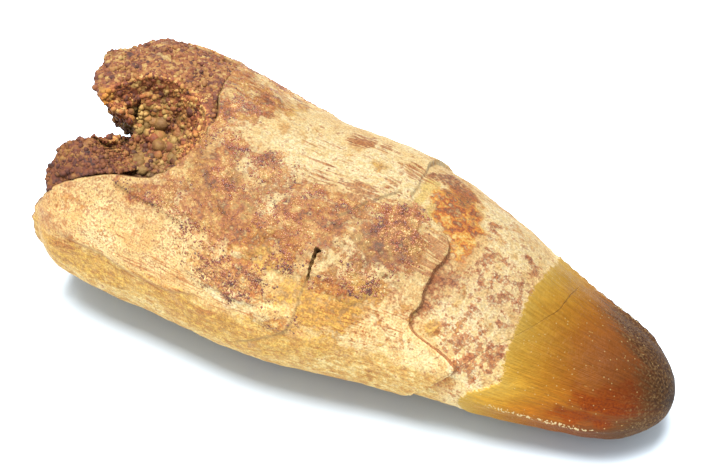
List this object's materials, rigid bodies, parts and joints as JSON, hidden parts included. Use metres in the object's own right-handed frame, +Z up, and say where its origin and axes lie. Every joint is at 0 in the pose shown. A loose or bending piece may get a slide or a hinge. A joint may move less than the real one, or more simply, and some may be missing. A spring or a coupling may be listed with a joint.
{
  "type": "fossil crocodylomorph tooth",
  "caption": "Fossil crocodylomorph tooth lying on its side: amber enamel crown, cream root with a broken ledge, and red-brown sandstone in its open base.",
  "frame": {"origin": "middle of the fossil's box, on the surface it lies on", "axes": "+X from the broken base of the root to the tip of the crown, +Z up from the side it lies on"},
  "size_m": [0.0584, 0.026, 0.0196],
  "materials": {
    "fossil_tooth": "matt cream root with rust stains, satin olive to amber enamel crown",
    "sandstone": "rough red-brown sand grains with grey-green lumps"
  },
  "bodies": {
    "root": {"tooth": "fossil_tooth", "sandstone_fill": "sandstone"}
  },
  "joints": []
}
